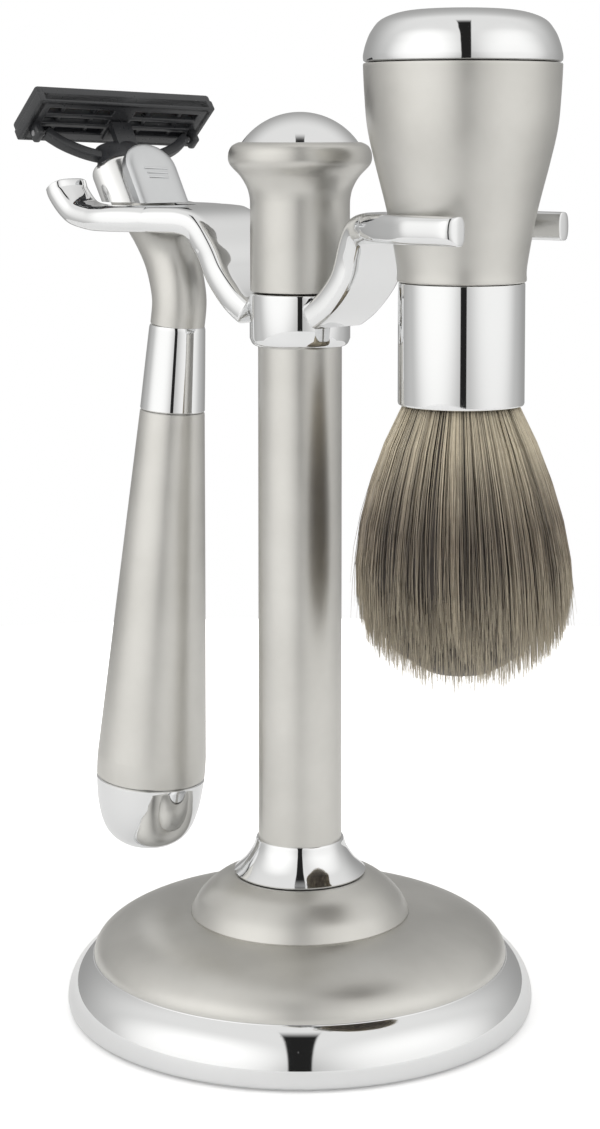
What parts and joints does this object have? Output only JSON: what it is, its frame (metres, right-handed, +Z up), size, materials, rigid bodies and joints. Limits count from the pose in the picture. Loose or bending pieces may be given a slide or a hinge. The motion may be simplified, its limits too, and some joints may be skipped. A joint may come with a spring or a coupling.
{
  "type": "razor and shaving brush stand",
  "caption": "Weighted round-base shaving stand with two forked arms on a post, holding a pivoting-head razor and a hair shaving brush.",
  "frame": {"origin": "centre of the round foot's underside, on the surface that the stand is on", "axes": "+Z up the post; +X from the post towards the fork that holds the brush; -X towards the fork that holds the razor"},
  "size_m": [0.1246, 0.09, 0.1909],
  "materials": {
    "polished_chrome": "mirror polished",
    "satin_nickel": "fine bead-blasted satin",
    "plain_steel": "plain turned",
    "weight_iron": "as cast",
    "foot_rubber": "matt",
    "brass": "turned brass",
    "bristle": "natural hair, mixed blond and grey-brown",
    "resin": "cast resin",
    "pearl_plastic": "bright pearl chrome",
    "silver_plastic": "satin silver",
    "black_plastic": "fine matt moulding",
    "black_rubber": "soft matt",
    "blade_steel": "ground",
    "lubricant_strip": "waxy"
  },
  "bodies": {
    "stand": {"foot_pad": "foot_rubber", "base_rim": "polished_chrome", "base_dome": "satin_nickel", "base_step": "satin_nickel", "base_weight": "weight_iron", "foot_collar": "polished_chrome", "tie_rod": "plain_steel", "base_washer": "plain_steel", "base_nut": "plain_steel", "post_tube": "satin_nickel", "post_bushes": "plain_steel", "arm_collar": "polished_chrome", "brush_arm": "polished_chrome", "razor_arm": "polished_chrome", "finial_body": "satin_nickel", "finial_insert": "brass", "finial_dome": "polished_chrome"},
    "brush": {"brush_cap": "polished_chrome", "brush_handle": "satin_nickel", "brush_ferrule": "polished_chrome", "brush_hair": "bristle", "knot_plug": "resin", "brush_stud": "plain_steel"},
    "razor": {"handle_end_cap": "polished_chrome", "handle_grip": "satin_nickel", "handle_band": "polished_chrome", "handle_neck": "satin_nickel", "handle_rod": "plain_steel", "head_housing": "pearl_plastic", "button_spring": "plain_steel", "plunger_spring": "plain_steel"},
    "button": {"release_button": "silver_plastic"},
    "plunger": {"plunger": "black_plastic"},
    "hub": {"cartridge_hub": "black_plastic", "pivot_pins": "plain_steel"},
    "cartridge": {"cartridge_frame": "black_plastic", "blades": "blade_steel", "lubricating_strip": "lubricant_strip", "guard_fins": "black_rubber", "end_clips": "blade_steel"}
  },
  "joints": [
    {"name": "brush_lift_off", "type": "slide", "parent": "stand", "child": "brush", "axis": [0.866, 0, 0.5], "range_m": [0, 0.05]},
    {"name": "razor_lift_off", "type": "slide", "parent": "stand", "child": "razor", "axis": [-0.5983, 0.0748, 0.7978], "range_m": [0, 0.06]},
    {"name": "button_push", "type": "slide", "parent": "razor", "child": "button", "axis": [-0.5795, 0.1653, 0.798], "range_m": [0, 0.0025], "stiffness_N_per_m": 600, "springref_m": -0.0005, "deforming": ["button_spring"]},
    {"name": "cartridge_pull_off", "type": "slide", "parent": "razor", "child": "hub", "axis": [-0.5795, 0.1653, 0.798], "range_m": [0, 0.012]},
    {"name": "cartridge_pivot", "type": "hinge", "parent": "hub", "child": "cartridge", "pos_m": [-0.05503, 0.00445, 0.16811], "axis": [0.2248, 0.9737, -0.0384], "range_deg": [0, 40], "stiffness_Nm_per_rad": 0.02, "springref_deg": -5.73},
    {"name": "plunger_push", "type": "slide", "parent": "razor", "child": "plunger", "axis": [0.5795, -0.1653, -0.798], "range_m": [0, 0.002], "deforming": ["plunger_spring"]}
  ],
  "couplings": [
    {"joint": "plunger_push", "follows": "cartridge_pivot", "m_per_rad": 0.00285}
  ]
}
